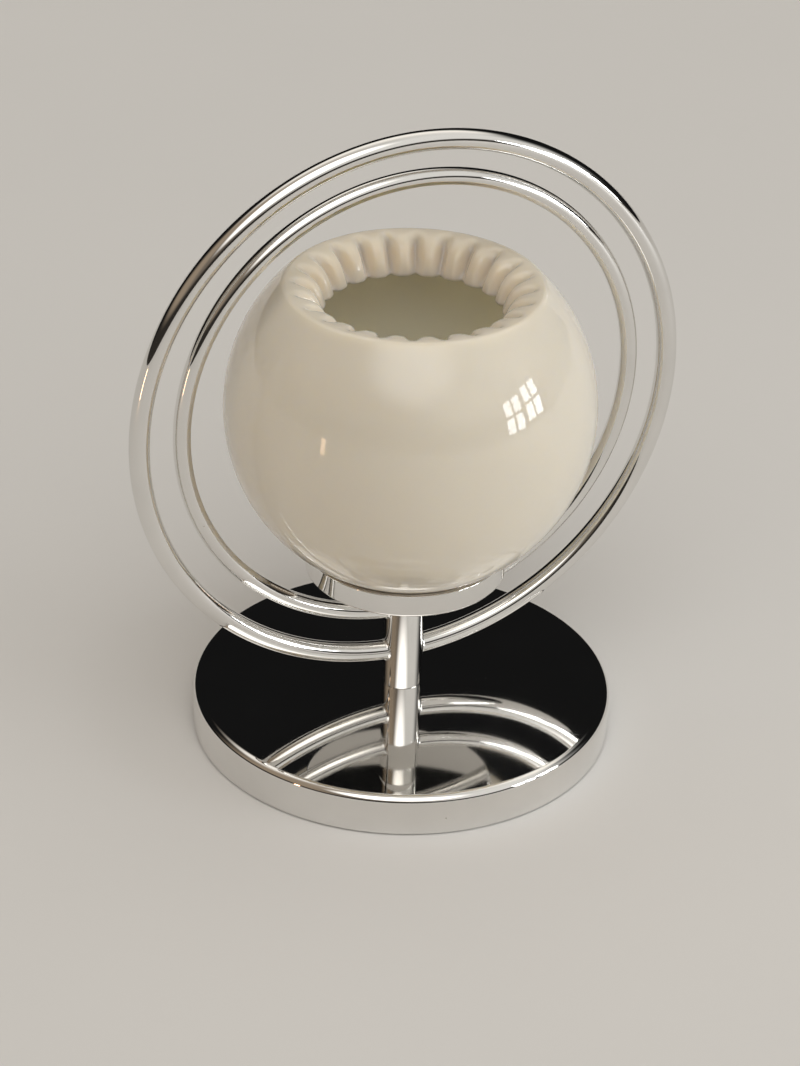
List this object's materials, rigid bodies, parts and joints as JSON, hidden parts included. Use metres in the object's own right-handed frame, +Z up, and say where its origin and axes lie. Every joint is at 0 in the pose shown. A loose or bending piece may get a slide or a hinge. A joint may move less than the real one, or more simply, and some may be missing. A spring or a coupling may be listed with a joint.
{
  "type": "table lamp",
  "caption": "Chrome table lamp: opal glass globe with a fluted top opening in a shallow cup on a short stem, framed by upright rings brazed to the stem over a flat round base.",
  "frame": {"origin": "centre of the underside of the base, on the table", "axes": "+Z up along the stem, rings in the XZ plane, +Y towards the back where the cord enters"},
  "size_m": [0.284, 0.2116, 0.3197],
  "materials": {
    "chrome": "mirror chrome plate",
    "cast_iron": "rough casting, dark primer",
    "felt": "dark green felt",
    "rubber": "black rubber",
    "seat_rubber": "pale soft rubber",
    "steel": "zinc plated steel",
    "opal_glass": "opal white glass with a thin clear casing, fire polished",
    "bakelite": "black phenolic moulding",
    "brass": "bare brass",
    "cap_metal": "nickel plated brass",
    "bulb_glass": "satin frosted glass",
    "black_glass": "black sealing glass",
    "clear_glass": "clear lead glass",
    "tungsten": "drawn wire"
  },
  "bodies": {
    "stand": {"base_shell": "chrome", "base_weight": "cast_iron", "base_felt": "felt", "cord_grommet": "rubber", "stem_tube": "chrome", "stem_foot_bush": "steel", "stem_head_bush": "steel", "lamp_pipe": "steel", "base_washer": "steel", "base_lock_nut": "steel", "outer_ring": "chrome", "inner_ring": "chrome", "shade_cup": "chrome", "cup_washer": "steel", "cup_nut": "steel", "holder_cap": "bakelite", "holder_grub_screw": "steel", "holder_body": "bakelite", "terminal_block": "bakelite", "terminal_screws": "brass", "holder_screw_shell": "brass", "centre_contact": "brass"},
    "seat": {"seat_ring": "seat_rubber"},
    "globe": {"glass_globe": "opal_glass"},
    "bulb_tip": {"bulb_tip_contact": "cap_metal"},
    "bulb": {"bulb_insulator": "black_glass", "bulb_cap": "cap_metal", "bulb_glass": "bulb_glass", "bulb_stem": "clear_glass", "bulb_filament": "tungsten"}
  },
  "joints": [
    {"name": "globe_turn", "type": "hinge", "parent": "stand", "child": "seat", "pos_m": [0, 0, 0.0897], "axis": [0, 0, 1], "continuous": true},
    {"name": "globe_lift", "type": "slide", "parent": "seat", "child": "globe", "axis": [0, 0, 1], "range_m": [0, 0.028]},
    {"name": "bulb_rise", "type": "slide", "parent": "stand", "child": "bulb_tip", "axis": [0, 0, 1], "range_m": [0, 0.01448]},
    {"name": "bulb_turn", "type": "hinge", "parent": "bulb_tip", "child": "bulb", "pos_m": [0, 0, 0.1226], "axis": [0, 0, 1], "range_deg": [0, 1440]}
  ],
  "couplings": [
    {"joint": "bulb_turn", "follows": "bulb_rise", "rad_per_m": 1735.7}
  ]
}
